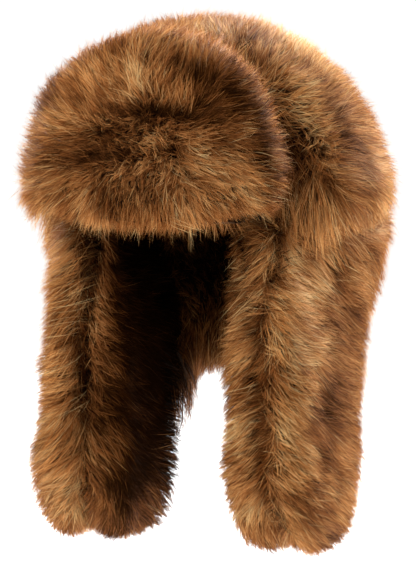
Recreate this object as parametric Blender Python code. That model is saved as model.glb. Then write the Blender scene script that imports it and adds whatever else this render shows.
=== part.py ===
"""A fur trapper hat, in metres with +Z up. The front faces -Y and the wearer's left is +X.

The origin is where the top of the head bears on the crown's inside. The crown is a band with a top sewn on.
Below it hang two long ear flaps and a short neck flap, each a wall with fur outside and fur lining inside,
sewn together at the edge. A tall visor is turned up in front. Fur is a solid of its full depth, whose face
stands in overlapping locks.
"""

import functools
import math

import bmesh
import bpy
import numpy as np

# The crown, without its fur
CROWN_WIDTH = 0.176
CROWN_LENGTH = 0.206
CROWN_HEIGHT = 0.112
CROWN_WALL = 0.003

# The flaps, measured on their walls
FLAP_WALL = 0.003
FLAP_LENGTH = 0.208
FLAP_WIDTH = 0.108
FLAP_CORNER = 0.034
FLAP_BACK_CURVE = 0.070
FLAP_FRONT_ANGLE = math.radians(47)
FLAP_STRAIGHT = 0.30  # how much of the crown's front curve is left low on a flap
FLAP_STRAIGHT_DROP = 0.090  # where a flap has come that straight
FLAP_TAPER = 0.010  # how far the flaps draw in by then
NECK_LENGTH = 0.098
NECK_SPLIT_ANGLE = math.radians(122)
NAPE_TAPER = 0.026  # how far the neck flap draws in under the back of the head

# The visor
VISOR_BOARD = 0.0025
VISOR_STAND = 0.007  # from the crown's wall to the back of the board
VISOR_HEIGHT = 0.104
VISOR_CORNER = 0.060
VISOR_LEAN = 0.010
VISOR_ANGLE = math.radians(36)
VISOR_TURN = math.radians(-4)  # how far the turned-up visor sits off the front, towards the wearer's right

# The fur
CROWN_PILE = 0.040
CROWN_TOP_PILE = 0.021
VISOR_PILE = 0.036
FLAP_FRONT_PILE = 0.026
FLAP_BACK_PILE = 0.029
LINING_FRONT_PILE = 0.034
LINING_BACK_PILE = 0.044
LINING_RIM_SHARE = 0.35  # the lining is thin at the rim, where the head goes in
FLAP_EDGE_REACH = 0.024  # how far the fur stands past a flap's edge
VISOR_EDGE_REACH = 0.024
VISOR_DROOP = 0.011  # how far the visor's fur hangs below the rim at its middle
BROW_PILE = 0.017  # what is left of a flap's pile at the rim under the visor
BROW_ANGLE = math.radians(61)  # the flap's fur is that thin as far round as this
SIDE_ANGLE = math.radians(104)  # and as deep as the crown's from here back
PILE_DROP = 0.150  # where a flap's fur has its low depth
LOCK_RELIEF = 0.005
LOCK_CREST = 0.7  # where a lock is thickest, as a share of its length
EDGE_JAG = 0.14  # how much further every other lock stands past an edge, as a share of the reach
BACK_SWEEP = 1.2  # how far back, against down, the fur points at a flap's back curve
SWEEP_ROOM = 0.7  # how much of the way to the neck flap it may take up

# The gaps between pieces
CLEARANCE = 0.0003
VISOR_CLEARANCE = 0.0006
SPLIT_CLEARANCE = 0.001  # between an ear flap and the neck flap, across the crown's width
EDGE_LIP = 0.0007

# Where the fur runs past a wall's edge: how far it reaches and how thick it is, as shares of the edge reach
# and of the pile, and how far its underside reaches at the same step. It comes back to the seam in a groove.
EDGE_ROLL = (
    # reach, pile, under
    (0.03, 1.00, 0.03),
    (0.64, 0.94, 0.10),
    (0.96, 0.68, 0.22),
    (1.00, 0.36, 0.34),
    (0.80, 0.14, 0.44),
    (0.60, 0.00, 0.52),
)
UNDER_FLAT = 0.05  # up to this reach the underside still lies on the wall

# The visor's lower edge droops only in front, so that it clears the flaps' fur below it.
VISOR_FOLD = (
    # droop, pile
    (0.00, 0.00),
    (0.00, 0.50),
    (0.80, 0.66),
    (1.00, 0.78),
    (0.55, 0.96),
)

# Dents in the fur: where each lies across and down its panel, how far it spreads both ways, all as shares of
# the panel from its first edge to its last, and how deep it is as a share of the pile.
VISOR_DENTS = (
    # across, down, spread across, spread down, depth
    (0.34, 0.46, 0.26, 0.07, 0.20),
    (0.66, 0.62, 0.10, 0.10, 0.10),
)
EAR_DENTS = (
    # across, down, spread across, spread down, depth
    (0.20, 0.21, 0.30, 0.035, 0.26),
    (0.10, 0.62, 0.12, 0.060, 0.12),
)
NECK_DENTS = (
    # across, down, spread across, spread down, depth
    (0.50, 0.55, 0.30, 0.10, 0.10),
)
CROWN_DENTS = (
    # turn from the front, lift from the rim to the top, spread round, spread up, depth
    (0.22, 0.42, 0.035, 0.30, 0.20),
    (-0.22, 0.42, 0.035, 0.30, 0.20),
    (0.36, 0.30, 0.050, 0.10, 0.12),
    (-0.36, 0.30, 0.050, 0.10, 0.12),
)

# How finely the solids are faceted
CROWN_COLUMNS = 48
CROWN_LOCK_ROWS = 6
CROWN_BAND_ROWS = 3  # the band is this many of the rows high
VISOR_COLUMNS = 12
VISOR_LOCK_ROWS = 5
EAR_COLUMNS = 8
EAR_LOCK_ROWS = 6
NECK_COLUMNS = 14
NECK_LOCK_ROWS = 3

FUR_BROWN = (0.29, 0.15, 0.06, 1.0)
FUR_TAN = (0.42, 0.24, 0.11, 1.0)
FUR_DARK = (0.17, 0.085, 0.035, 1.0)
PELT_LEATHER = (0.12, 0.065, 0.035, 1.0)
LINING_CLOTH = (0.035, 0.024, 0.018, 1.0)

RIM_Z = CROWN_WALL - CROWN_HEIGHT  # puts the crown's inside top at the origin
SEAM = (CLEARANCE - FLAP_WALL) / 2  # from a flap wall's face to its fur's side of the seam
SHARP_ANGLE = math.radians(50)
REACH_STEPS = 60


def ease(share):
    """A smooth step from 0 to 1."""
    share = min(max(share, 0.0), 1.0)
    return share * share * (3 - 2 * share)


def unit(vector):
    return vector / np.linalg.norm(vector)


def dome_point(angle, lift, offset):
    """A point outside the crown's wall. The angle runs from the front to +X, the lift from 0 to pi / 2."""
    half = np.array([CROWN_WIDTH / 2, CROWN_LENGTH / 2, CROWN_HEIGHT])
    sphere = np.array([math.cos(lift) * math.sin(angle), -math.cos(lift) * math.cos(angle), math.sin(lift)])
    return sphere * half + unit(sphere / half) * offset + np.array([0, 0, RIM_Z])


def hang_plan(angle, drop):
    """The flaps' plan at a drop below the rim: a point and the outward normal."""
    width = CROWN_WIDTH / 2 - FLAP_TAPER * ease(drop / FLAP_STRAIGHT_DROP)
    if abs(angle) <= math.pi / 2:
        bow = 1 - (1 - FLAP_STRAIGHT) * ease(drop / FLAP_STRAIGHT_DROP)
        length = CROWN_LENGTH / 2
        across = math.copysign(width * (1 - bow * (1 - abs(math.sin(angle)))), angle)
    else:
        bow = 1
        length = CROWN_LENGTH / 2 - NAPE_TAPER * ease(drop / NECK_LENGTH)
        across = width * math.sin(angle)
    point = np.array([across, -length * math.cos(angle)])
    normal = unit(np.array([length * math.sin(angle), -width * bow * math.cos(angle)]))
    return point, normal


def hang_point(angle, drop, offset, beyond=0.0):
    """A point outside the flaps' wall. Past a flap's front edge, beyond runs straight on."""
    point, normal = hang_plan(angle, drop)
    forward = np.array([normal[1], -normal[0]]) * math.copysign(1.0, angle)
    return np.array([*(point + normal * offset + forward * beyond), RIM_Z - drop])


def reach_table(point_at, first, last):
    """Angles along a curve, and the way along it from the first."""
    angles = np.linspace(first, last, REACH_STEPS)
    points = np.array([point_at(angle) for angle in angles])
    steps = np.linalg.norm(np.diff(points, axis=0), axis=1)
    return angles, np.concatenate([[0.0], np.cumsum(steps)])


@functools.cache
def hang_table():
    """The way along the flaps' wall from a front edge back, at the neck flap's lower edge."""
    return reach_table(lambda angle: hang_plan(angle, NECK_LENGTH)[0], FLAP_FRONT_ANGLE, math.pi)


def back_share(reach):
    """How far the hem has risen from an ear flap's length to the neck flap's."""
    return ease((reach - FLAP_WIDTH + FLAP_BACK_CURVE / 2) / FLAP_BACK_CURVE)


def hem_drop(reach):
    """How far the hem hangs below the rim, that far along from the front edge."""
    to_centre = max(FLAP_CORNER - reach, 0.0)
    drop = FLAP_LENGTH - FLAP_CORNER + math.sqrt(FLAP_CORNER**2 - to_centre**2)
    return drop + back_share(reach) * (NECK_LENGTH - drop)


def visor_point(angle, rise, offset, beyond=0.0):
    """A point in front of the back of the visor's board. Past the board's end, beyond runs straight on."""
    half = np.array([CROWN_WIDTH, CROWN_LENGTH]) / 2 + VISOR_STAND
    turned = angle + VISOR_TURN
    plan = half * (math.sin(turned), -math.cos(turned))
    normal = unit(plan / half**2)
    lean = VISOR_LEAN * rise / VISOR_HEIGHT
    along = np.array([-normal[1], normal[0]]) * math.copysign(1.0, angle)
    return np.array([*(plan + normal * (offset - lean) + along * beyond), RIM_Z + rise])


@functools.cache
def visor_table():
    """The way along the visor from its middle to its end, as if it weren't turned."""
    half = np.array([CROWN_WIDTH, CROWN_LENGTH]) / 2 + VISOR_STAND
    return reach_table(lambda angle: half * (math.sin(angle), math.cos(angle)), 0.0, VISOR_ANGLE)


def visor_top(along):
    """The height of the visor's board above the rim, that far from its middle."""
    past = max(abs(along) - visor_table()[1][-1] + VISOR_CORNER, 0.0)
    return VISOR_HEIGHT - VISOR_CORNER + math.sqrt(max(VISOR_CORNER**2 - past**2, 0.0))


def behind_visor(angle, lift, offset):
    """How far this point outside the crown still is from the back of the visor's board."""
    point = dome_point(angle, lift, offset)
    half = np.array([CROWN_WIDTH, CROWN_LENGTH]) / 2 + VISOR_STAND
    lean = VISOR_LEAN * (point[2] - RIM_Z) / VISOR_HEIGHT
    return (1 - np.linalg.norm(point[:2] / half)) * half[0] - lean


def room_behind_visor(angle, lift, most):
    """The fur's depth on the crown's front, which the visor presses flat low down."""
    low, high = CLEARANCE, most
    if behind_visor(angle, lift, most) > VISOR_CLEARANCE:
        return most
    for _ in range(24):
        middle = (low + high) / 2
        if behind_visor(angle, lift, middle) > VISOR_CLEARANCE:
            low = middle
        else:
            high = middle
    return low


def dent_share(dents, across, down):
    """What is left of the pile at this place on a panel, as a share."""
    kept = 1.0
    for at, low, wide, tall, depth in dents:
        kept -= depth * math.exp(-(((across - at) / wide) ** 2) - ((down - low) / tall) ** 2)
    return kept


def lock_rows(count):
    """Rows of locks down a panel: each share, its row, and whether its locks crest there."""
    rows = []
    for row in range(count):
        rows += [(row / count, row, False), ((row + LOCK_CREST) / count, row, True)]
    return [*rows, (1.0, count, False)]


def lock_relief(row, crest, column):
    """How far a lock stands out here. The rows of locks are laid like bricks."""
    return LOCK_RELIEF if crest and (row + column) % 2 else 0.0


def finish(name, made, colour, roughness):
    """Closes a bmesh into a named object with a material of its own."""
    bmesh.ops.recalc_face_normals(made, faces=made.faces)
    mesh = bpy.data.meshes.new(name)
    made.to_mesh(mesh)
    made.free()
    mesh.shade_smooth()
    mesh.set_sharp_from_angle(angle=SHARP_ANGLE)
    material = bpy.data.materials.new(name)
    material.use_nodes = True
    shader = material.node_tree.nodes["Principled BSDF"]
    shader.inputs["Base Color"].default_value = colour
    shader.inputs["Roughness"].default_value = roughness
    shader.inputs["Metallic"].default_value = 0.0
    mesh.materials.append(material)
    made_object = bpy.data.objects.new(name, mesh)
    bpy.context.scene.collection.objects.link(made_object)
    return made_object


def add_rows(made, rows):
    return [[made.verts.new(point) for point in row] for row in rows]


def join_rows(made, rows, around):
    """Faces between rows of as many points, which close round if around is set."""
    for first, second in zip(rows, rows[1:]):
        count = len(first)
        for i in range(count if around else count - 1):
            j = (i + 1) % count
            made.faces.new((first[i], first[j], second[j], second[i]))


def rim_of(rows):
    """The points round the edge of a sheet, in order."""
    left = [row[0] for row in rows[-2:0:-1]]
    right = [row[-1] for row in rows[1:-1]]
    return [*rows[0], *right, *reversed(rows[-1]), *left]


def panel(name, outer, under, colour, roughness):
    """A closed body between two sheets that have as many rows and columns."""
    made = bmesh.new()
    sheets = [add_rows(made, rows) for rows in (outer, under)]
    for sheet in sheets:
        join_rows(made, sheet, around=False)
    join_rows(made, [rim_of(sheet) for sheet in sheets], around=True)
    return finish(name, made, colour, roughness)


def border_of(rows):
    """The places round the edge of a grid: down its first column, along its last row, up, and back."""
    last_row, last_column = len(rows) - 1, len(rows[0]) - 1
    border = [(r, 0) for r in range(last_row + 1)]
    border += [(last_row, c) for c in range(1, last_column + 1)]
    border += [(r, last_column) for r in range(last_row - 1, -1, -1)]
    return border + [(0, c) for c in range(last_column - 1, 0, -1)]


def rolled_sheet(made, grid, path, place, way_out, reach, seam, outer):
    """One side of a fur body: its grid, and the rings that roll round the wall's edge along the path.

    A grid entry is where it lies along and down the wall, the fur's depth there, where it lies down the wall
    at the seam, and how full the roll is there, as a share.
    """
    if outer:
        rows = [[place(along, down, depth) for along, down, depth, _, _ in row] for row in grid]
    else:
        rows = [[place(along, rest, CLEARANCE) for along, _, _, rest, _ in row] for row in grid]
    vertices = add_rows(made, rows)
    join_rows(made, vertices, around=False)
    rings = [[vertices[r][c] for r, c in path]]
    for roll_reach, pile, under_reach in EDGE_ROLL:
        base = CLEARANCE if under_reach <= UNDER_FLAT else seam
        lip = base + EDGE_LIP
        ring = []
        for i, (r, c) in enumerate(path):
            along, down, depth, rest, swell = grid[r][c]
            out_along, out_down = way_out(along, rest, r, c)
            if outer:
                jag = 1 + EDGE_JAG * (i % 2) * pile
                far = reach * (under_reach + (roll_reach * jag - under_reach) * swell)
                down = rest + (down - rest) * pile
                ring.append(place(along + out_along * far, down + out_down * far, lip + (depth - lip) * pile))
            else:
                far = reach * under_reach
                ring.append(place(along + out_along * far, rest + out_down * far, base))
        rings.append([made.verts.new(point) for point in ring])
    join_rows(made, rings, around=False)
    return vertices, rings


def rolled_fur(name, grid, first, last, place, way_out, reach, seam, colour):
    """A fur body over a wall, rolled round the wall's edge from one place on its border to another."""
    made = bmesh.new()
    border = border_of(grid)
    path = border[first:last]
    loops = []
    for outer in (True, False):
        vertices, rings = rolled_sheet(made, grid, path, place, way_out, reach, seam, outer)
        loop = rings[-1] + [ring[-1] for ring in rings[-2::-1]]
        loop += [vertices[r][c] for r, c in border[last:] + border[:first]]
        loops.append(loop + [ring[0] for ring in rings[:-1]])
    join_rows(made, loops, around=True)
    return finish(name, made, colour, 0.9)


def dome_body(name, outer, under, tops, colour, roughness):
    """A closed body between two sheets whose rows run round and up, to one point each if tops are given."""
    made = bmesh.new()
    sheets = [add_rows(made, rows) for rows in (outer, under)]
    for sheet in sheets:
        join_rows(made, sheet, around=True)
    join_rows(made, [sheet[0] for sheet in sheets], around=True)
    if tops is None:
        join_rows(made, [sheet[-1] for sheet in sheets], around=True)
    else:
        for sheet, top in zip(sheets, tops):
            peak = made.verts.new(top)
            last = sheet[-1]
            for i, vertex in enumerate(last):
                made.faces.new((vertex, last[(i + 1) % len(last)], peak))
    return finish(name, made, colour, roughness)


def past_visor(angle):
    """0 as far round as the visor's fur reaches, rising to 1 past its ends."""
    end = VISOR_ANGLE + VISOR_EDGE_REACH / (CROWN_WIDTH / 2)
    return ease((abs(angle - VISOR_TURN) - end) / (VISOR_EDGE_REACH / CROWN_WIDTH))


def crown_pile(angle, lift, relief):
    """The crown fur's depth, pressed flat behind the visor and full past its ends."""
    share = lift / (math.pi / 2)
    pile = CROWN_PILE + (CROWN_TOP_PILE - CROWN_PILE) * share
    pile = pile * dent_share(CROWN_DENTS, angle / math.pi, share) + relief * math.cos(lift)
    pressed = room_behind_visor(angle, lift, pile)
    return pressed + (pile - pressed) * past_visor(angle)


def crown_grid():
    """The crown's angles and lifts, which its wall shares with the underside of its fur."""
    angles = np.linspace(-math.pi, math.pi, CROWN_COLUMNS, endpoint=False)
    return angles, np.linspace(0, math.pi / 2, CROWN_LOCK_ROWS, endpoint=False)


def crown_wall():
    """The crown's wall, a hollow dome open below, in two: its band, and its top sewn to it."""
    angles, lifts = crown_grid()
    offsets = (0.0, -CROWN_WALL)
    bands, caps = [], []
    for offset in offsets:
        rows = [[dome_point(a, lift, offset) for a in angles] for lift in lifts]
        seam, above = rows[CROWN_BAND_ROWS], rows[CROWN_BAND_ROWS + 1]
        bands.append(rows[: CROWN_BAND_ROWS + 1])
        raised = [point + unit(up - point) * CLEARANCE for point, up in zip(seam, above)]
        caps.append([raised, *rows[CROWN_BAND_ROWS + 1 :]])
    tops = [dome_point(0.0, math.pi / 2, offset) for offset in offsets]
    dome_body("crown_band", *bands, None, LINING_CLOTH, 0.85)
    dome_body("crown_top", *caps, tops, LINING_CLOTH, 0.85)


def crown_fur():
    """The fur over the crown, down to its rim."""
    angles, lifts = crown_grid()
    outer = []
    for share, row, crest in lock_rows(CROWN_LOCK_ROWS)[:-1]:
        lift = share * math.pi / 2
        depths = [crown_pile(a, lift, lock_relief(row, crest, i)) for i, a in enumerate(angles)]
        outer.append([dome_point(a, lift, depth) for a, depth in zip(angles, depths)])
    under = [[dome_point(a, lift, CLEARANCE) for a in angles] for lift in lifts]
    tops = [dome_point(0.0, math.pi / 2, offset) for offset in (CROWN_TOP_PILE, CLEARANCE)]
    return dome_body("crown_fur", outer, under, tops, FUR_BROWN, 0.9)


def visor_place(along, rise, depth):
    """A point in front of the visor's board."""
    angles, reaches = visor_table()
    angle = math.copysign(np.interp(abs(along), reaches, angles), along)
    beyond = max(abs(along) - reaches[-1], 0.0)
    return visor_point(angle, rise, VISOR_BOARD + depth, beyond)


def visor_alongs():
    angles, reaches = visor_table()
    turns = np.linspace(-VISOR_ANGLE, VISOR_ANGLE, VISOR_COLUMNS + 1)
    return [math.copysign(np.interp(abs(turn), angles, reaches), turn) for turn in turns]


def visor_board():
    """The stiff panel that holds the turned-up visor."""
    alongs = visor_alongs()
    sheets = []
    for depth in (0.0, -VISOR_BOARD):
        rows = []
        for share, _, _ in lock_rows(VISOR_LOCK_ROWS):
            rises = [CLEARANCE + (visor_top(along) - CLEARANCE) * share for along in alongs]
            rows.append([visor_place(along, rise, depth) for along, rise in zip(alongs, rises)])
        sheets.append(rows)
    return panel("visor_board", *sheets, PELT_LEATHER, 0.8)


def visor_grid():
    """The visor fur's places, from the fold at the rim up to the board's top."""
    alongs = visor_alongs()
    grid = []
    lip = CLEARANCE + EDGE_LIP
    for i, (droop, pile) in enumerate(VISOR_FOLD):
        rest = CLEARANCE * (i + 1)
        depth = lip + (VISOR_PILE - lip) * pile
        line = []
        for along in alongs:
            middle = 1 - (along / alongs[-1]) ** 2
            line.append((along, rest - VISOR_DROOP * droop * middle, depth, rest, pile))
        grid.append(line)
    for share, row, crest in lock_rows(VISOR_LOCK_ROWS)[1:]:
        line = []
        for i, along in enumerate(alongs):
            rise = CLEARANCE + (visor_top(along) - CLEARANCE) * share
            dents = dent_share(VISOR_DENTS, i / VISOR_COLUMNS, 1 - share)
            line.append((along, rise, VISOR_PILE * dents + lock_relief(row, crest, i), rise, 1.0))
        grid.append(line)
    return grid


def visor_way_out(along, rise, row, column):
    """Outwards along the wall from the visor's edge: sideways at its ends and up at its top."""
    half = visor_table()[1][-1]
    out = np.array([max(abs(along) - half + VISOR_CORNER, 0.0), max(rise - VISOR_HEIGHT + VISOR_CORNER, 0.0)])
    return out / np.linalg.norm(out) * (math.copysign(1.0, along), 1.0)


def visor_fur():
    """The deep fur over the visor, rolled round its ends and top and drooping at the fold."""
    grid = visor_grid()
    last = 2 * (len(grid) - 1) + VISOR_COLUMNS + 1
    seam = -VISOR_BOARD / 2
    return rolled_fur("visor_fur", grid, 0, last, visor_place, visor_way_out, VISOR_EDGE_REACH, seam, FUR_TAN)


def ear_angles(side):
    gap = SPLIT_CLEARANCE / CROWN_WIDTH
    return side * np.linspace(FLAP_FRONT_ANGLE, NECK_SPLIT_ANGLE - gap, EAR_COLUMNS + 1)


def neck_angles():
    gap = SPLIT_CLEARANCE / CROWN_WIDTH
    return np.linspace(NECK_SPLIT_ANGLE + gap, 2 * math.pi - NECK_SPLIT_ANGLE - gap, NECK_COLUMNS + 1)


def nearest_turn(angle):
    """The same direction as an angle from -pi to pi."""
    return math.remainder(angle, 2 * math.pi)


def flap_places(angles, lock_count):
    """Rows of places on a flap's wall: along, down, and how far down as a share, from the rim to the hem."""
    tables = hang_table()
    hems = [hem_drop(np.interp(abs(nearest_turn(angle)), *tables)) for angle in angles]
    rows = []
    for share, row, crest in lock_rows(lock_count):
        drops = [CLEARANCE + (hem - CLEARANCE) * share for hem in hems]
        rows.append((share, row, crest, drops))
    return rows


def flap_wall(name, angles, lock_count):
    """A flap's wall, from the rim down to its hem."""
    turns = [nearest_turn(angle) for angle in angles]
    sheets = []
    for offset in (0.0, -FLAP_WALL):
        rows = []
        for _, _, _, drops in flap_places(angles, lock_count):
            rows.append([hang_point(turn, drop, offset) for turn, drop in zip(turns, drops)])
        sheets.append(rows)
    return panel(name, *sheets, PELT_LEATHER, 0.8)


def flap_pile(angle, drop, lining):
    """A flap's pile: the crown's at the rim outside, thin there inside, and thin under the visor."""
    back = ease((abs(angle) - BROW_ANGLE) / (SIDE_ANGLE - BROW_ANGLE))
    if lining:
        share = ease(drop / FLAP_STRAIGHT_DROP)
        low = LINING_FRONT_PILE + (LINING_BACK_PILE - LINING_FRONT_PILE) * back
        return low * (LINING_RIM_SHARE + (1 - LINING_RIM_SHARE) * share)
    at_rim = BROW_PILE + (CROWN_PILE - BROW_PILE) * back
    low = FLAP_FRONT_PILE + (FLAP_BACK_PILE - FLAP_FRONT_PILE) * back
    return at_rim + (low - at_rim) * ease(drop / PILE_DROP)


def flap_grid(angles, alongs, lock_count, dents, lining):
    """A flap fur's places, from the rim down to the hem."""
    grid = []
    for share, row, crest, drops in flap_places(angles, lock_count):
        line = []
        for i, (angle, along, drop) in enumerate(zip(angles, alongs, drops)):
            pile = flap_pile(nearest_turn(angle), drop, lining)
            pile *= dent_share(dents, i / (len(angles) - 1), share)
            line.append((along, drop, pile + lock_relief(row, crest, i), drop, 1.0))
        grid.append(line)
    return grid


def ear_way_out(along, drop, row, column):
    """Outwards along the wall from an ear flap's edge: forwards, round the corner, down, and back."""
    if column == 0:
        return -1.0, 0.0
    if along < FLAP_CORNER:
        out = np.array([along - FLAP_CORNER, drop - FLAP_LENGTH + FLAP_CORNER])
        return out / np.linalg.norm(out)
    share = back_share(along)
    room = np.interp(ear_angles(1)[-1], *hang_table()) - along
    sweep = BACK_SWEEP * math.sin(math.pi * share) * (1 - share)
    return min(sweep, SWEEP_ROOM * room / FLAP_EDGE_REACH), 1.0


def ear_fur(name, side, lining):
    """The fur on one side of an ear flap, rolled round its front edge and hem."""
    angles = ear_angles(1)
    table_angles, table_reaches = hang_table()
    alongs = np.interp(angles, table_angles, table_reaches)

    def place(along, drop, depth):
        angle = side * np.interp(along, table_reaches, table_angles)
        return hang_point(angle, drop, -FLAP_WALL - depth if lining else depth, max(-along, 0.0))

    grid = flap_grid(angles, alongs, EAR_LOCK_ROWS, EAR_DENTS, lining)
    last = len(grid) + EAR_COLUMNS
    colour = FUR_DARK if lining else FUR_TAN
    return rolled_fur(name, grid, 0, last, place, ear_way_out, FLAP_EDGE_REACH, SEAM, colour)


def neck_fur(name, lining):
    """The fur on one side of the neck flap, rolled round its hem."""
    angles = neck_angles()

    def place(angle, drop, depth):
        return hang_point(nearest_turn(angle), drop, -FLAP_WALL - depth if lining else depth)

    def way_out(along, drop, row, column):
        return 0.0, 1.0

    grid = flap_grid(angles, angles, NECK_LOCK_ROWS, NECK_DENTS, lining)
    first = len(grid) - 1
    last = len(grid) + NECK_COLUMNS
    colour = FUR_DARK if lining else FUR_TAN
    return rolled_fur(name, grid, first, last, place, way_out, FLAP_EDGE_REACH, SEAM, colour)


def ear_flap(label, side):
    """One ear flap: its wall, the fur outside and the fur lining."""
    flap_wall(f"ear_flap_{label}", ear_angles(side), EAR_LOCK_ROWS)
    ear_fur(f"ear_fur_{label}", side, lining=False)
    ear_fur(f"ear_lining_{label}", side, lining=True)


def neck_flap():
    """The short flap over the nape, between the ear flaps."""
    flap_wall("neck_flap", neck_angles(), NECK_LOCK_ROWS)
    neck_fur("neck_fur", lining=False)
    neck_fur("neck_lining", lining=True)


def clear_scene():
    for leftover in list(bpy.data.objects):
        bpy.data.objects.remove(leftover)


def main():
    clear_scene()
    crown_wall()
    crown_fur()
    visor_board()
    visor_fur()
    ear_flap("left", 1)
    ear_flap("right", -1)
    neck_flap()


main()
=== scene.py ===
"""The looks of the fur trapper hat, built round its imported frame.

Each fur body of the frame is replaced by one piece: a dark undercoat a little inside the body's own surface,
and some tens of thousands of tapered hairs rooted in it. The hairs are combed as in the photograph, drawn into
tufts and coloured from near black at the root to tan and cream at the tip.
"""

import math
from collections import namedtuple

import bmesh
import bpy
import numpy as np
from mathutils import Matrix, Vector
from mathutils.bvhtree import BVHTree
from mathutils.kdtree import KDTree


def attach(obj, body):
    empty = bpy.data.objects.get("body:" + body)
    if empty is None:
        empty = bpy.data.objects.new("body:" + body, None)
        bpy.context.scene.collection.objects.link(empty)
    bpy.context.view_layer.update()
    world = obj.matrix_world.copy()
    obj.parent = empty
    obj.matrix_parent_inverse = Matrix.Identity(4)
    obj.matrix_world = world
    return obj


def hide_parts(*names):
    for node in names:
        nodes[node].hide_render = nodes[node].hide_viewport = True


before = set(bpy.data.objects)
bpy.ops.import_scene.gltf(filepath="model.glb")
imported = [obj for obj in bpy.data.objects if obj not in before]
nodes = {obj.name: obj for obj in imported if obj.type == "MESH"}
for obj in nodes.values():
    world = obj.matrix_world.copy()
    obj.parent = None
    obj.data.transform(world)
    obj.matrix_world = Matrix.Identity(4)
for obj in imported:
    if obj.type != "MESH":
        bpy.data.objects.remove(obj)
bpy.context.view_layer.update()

# The hat, in metres: its rim's height, and half of its crown's width and length there
RIM_Z = -0.109
HALF_PLAN = np.array([0.088, 0.103])
SPLIT_ANGLE = math.radians(122)

# The photograph's frame and how the hat lies in it
FRAME_WIDTH, FRAME_HEIGHT = 416, 574
PIXEL = 0.0007
CAMERA_AZIMUTH = math.radians(17)
CAMERA_ELEVATION = math.radians(6)
CAMERA_DISTANCE = 1.6
RIM_BELOW_TOP = 206  # pixels from the frame's top down to the rim's centre
SENSOR = 36.0

WELD = 1e-5
UP = np.array([0.0, 0.0, 1.0])
DOWN = -UP
BACK = np.array([0.0, 1.0, 0.0])


def unit(vectors):
    """The vectors at a length of 1."""
    return vectors / np.maximum(np.linalg.norm(vectors, axis=-1, keepdims=True), 1e-9)


def ramp(values, low, high):
    """0 below low, 1 above high and a smooth step between."""
    share = np.clip((values - low) / (high - low), 0.0, 1.0)
    return share * share * (3 - 2 * share)


# Where the camera stands, and its axes
RIM_CENTRE = np.array([0.0, 0.0, RIM_Z])
TOWARDS = np.array(
    [
        math.sin(CAMERA_AZIMUTH) * math.cos(CAMERA_ELEVATION),
        -math.cos(CAMERA_AZIMUTH) * math.cos(CAMERA_ELEVATION),
        math.sin(CAMERA_ELEVATION),
    ]
)
CAMERA_PLACE = RIM_CENTRE + TOWARDS * CAMERA_DISTANCE
FRAME_MIDDLE = RIM_CENTRE - UP * (FRAME_HEIGHT / 2 - RIM_BELOW_TOP) * PIXEL
AHEAD = unit(FRAME_MIDDLE - CAMERA_PLACE)
RIGHTWARDS = unit(np.cross(AHEAD, UP))
UPWARDS = np.cross(RIGHTWARDS, AHEAD)


def in_frame(points):
    """Where points lie in the photograph's frame, in its pixels from the upper left corner."""
    rays = points - CAMERA_PLACE
    scale = CAMERA_DISTANCE / PIXEL / (rays @ AHEAD)
    return FRAME_WIDTH / 2 + rays @ RIGHTWARDS * scale, FRAME_HEIGHT / 2 - rays @ UPWARDS * scale


class Waves:
    """Smooth noise in space, from -1 to 1, made of sine waves in seeded directions."""

    def __init__(self, length, seed, count=14):
        draw = np.random.default_rng(seed)
        ways = unit(draw.normal(size=(count, 3))) * draw.uniform(0.7, 1.4, (count, 1))
        self.ways = ways * 2 * math.pi / length
        self.starts = draw.uniform(0, 2 * math.pi, count)

    def __call__(self, points):
        total = np.sin(points @ self.ways.T + self.starts).sum(axis=1)
        return np.clip(total / math.sqrt(len(self.starts)) / 1.4, -1, 1)


def outwards(points):
    """The level direction away from the hat's middle, square to the crown's plan."""
    level = points[:, :2] / HALF_PLAN**2
    return unit(np.column_stack([level, np.zeros(len(points))]))


def outward_of(points, normals):
    """How much a surface looks away from the hat's middle, from -1 to 1."""
    return (normals * outwards(points)).sum(axis=1)


def facing_of(normals):
    """How much a surface faces the photograph, from 0 to 1."""
    return ramp(normals @ TOWARDS, -0.35, 0.25)


def angle_of(points):
    """The angle round the hat from the front, as a positive number on both sides."""
    return np.abs(np.arctan2(points[:, 0] / HALF_PLAN[0], -points[:, 1] / HALF_PLAN[1]))


def patched_tone_and_light(points, facing, table):
    """The sum of soft patches of tone, placed in the photograph's frame, on what faces it: partly the fur's own
    tone and partly painted light and shade.
    """
    x, y = in_frame(points)
    total = np.zeros(len(points))
    for at_x, at_y, long, wide, turn, change in table:
        cos, sin = math.cos(math.radians(turn)), math.sin(math.radians(turn))
        along = ((x - at_x) * cos - (y - at_y) * sin) / long
        across = ((x - at_x) * sin + (y - at_y) * cos) / wide
        total += change * np.exp(-(along**2) - across**2)
    return total * facing
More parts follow.
